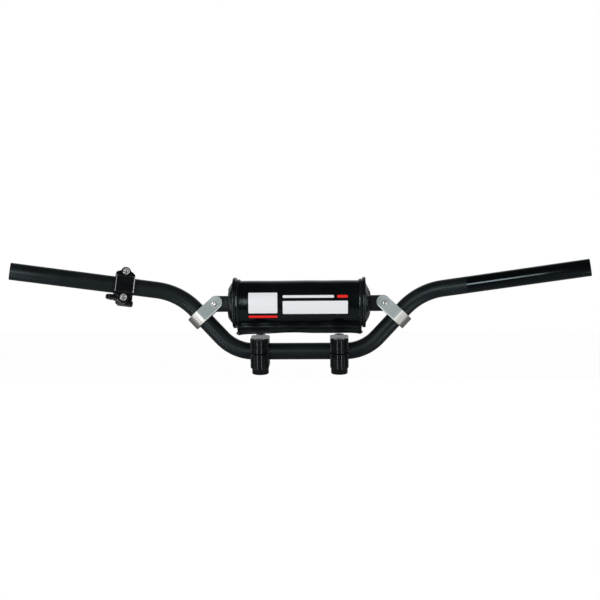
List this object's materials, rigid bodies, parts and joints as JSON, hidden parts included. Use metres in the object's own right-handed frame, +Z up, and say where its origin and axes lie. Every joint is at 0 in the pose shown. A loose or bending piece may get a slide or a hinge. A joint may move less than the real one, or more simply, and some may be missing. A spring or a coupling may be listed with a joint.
{
  "type": "motocross handlebar",
  "caption": "Black motocross handlebar with a padded crossbar on silver straps, riser clamps for the fork yoke and a bare lever perch.",
  "frame": {"origin": "middle of the tube's clamped length, on the tube's axis halfway between the two riser clamps", "axes": "+X to the rider's right along the clamped length, +Z up along the riser posts, +Y away from the rider"},
  "size_m": [0.7476, 0.0915, 0.1558],
  "materials": {
    "black_anodised_aluminium": "bead-blasted and black anodised",
    "gloss_black_aluminium": "machined, gloss black",
    "zinc_plated_steel": "satin zinc plate",
    "bright_screw_steel": "bright",
    "black_oxide_steel": "black oxide",
    "black_vinyl": "gloss coated fabric, sewn",
    "dark_foam": "closed-cell foam"
  },
  "bodies": {
    "root": {"crossbar": "black_anodised_aluminium", "handlebar_tube": "black_anodised_aluminium", "left_crossbar_strap": "zinc_plated_steel", "left_front_clamp_bolt": "black_oxide_steel", "left_lower_clamp": "gloss_black_aluminium", "left_rear_clamp_bolt": "black_oxide_steel", "left_strap_nut": "bright_screw_steel", "left_strap_screw": "bright_screw_steel", "left_upper_clamp": "gloss_black_aluminium", "pad_cover": "black_vinyl", "pad_foam": "dark_foam", "perch_body": "gloss_black_aluminium", "perch_cap": "gloss_black_aluminium", "perch_screw_lower": "bright_screw_steel", "perch_screw_upper": "bright_screw_steel", "right_crossbar_strap": "zinc_plated_steel", "right_front_clamp_bolt": "black_oxide_steel", "right_lower_clamp": "gloss_black_aluminium", "right_rear_clamp_bolt": "black_oxide_steel", "right_strap_nut": "bright_screw_steel", "right_strap_screw": "bright_screw_steel", "right_upper_clamp": "gloss_black_aluminium"}
  },
  "joints": []
}
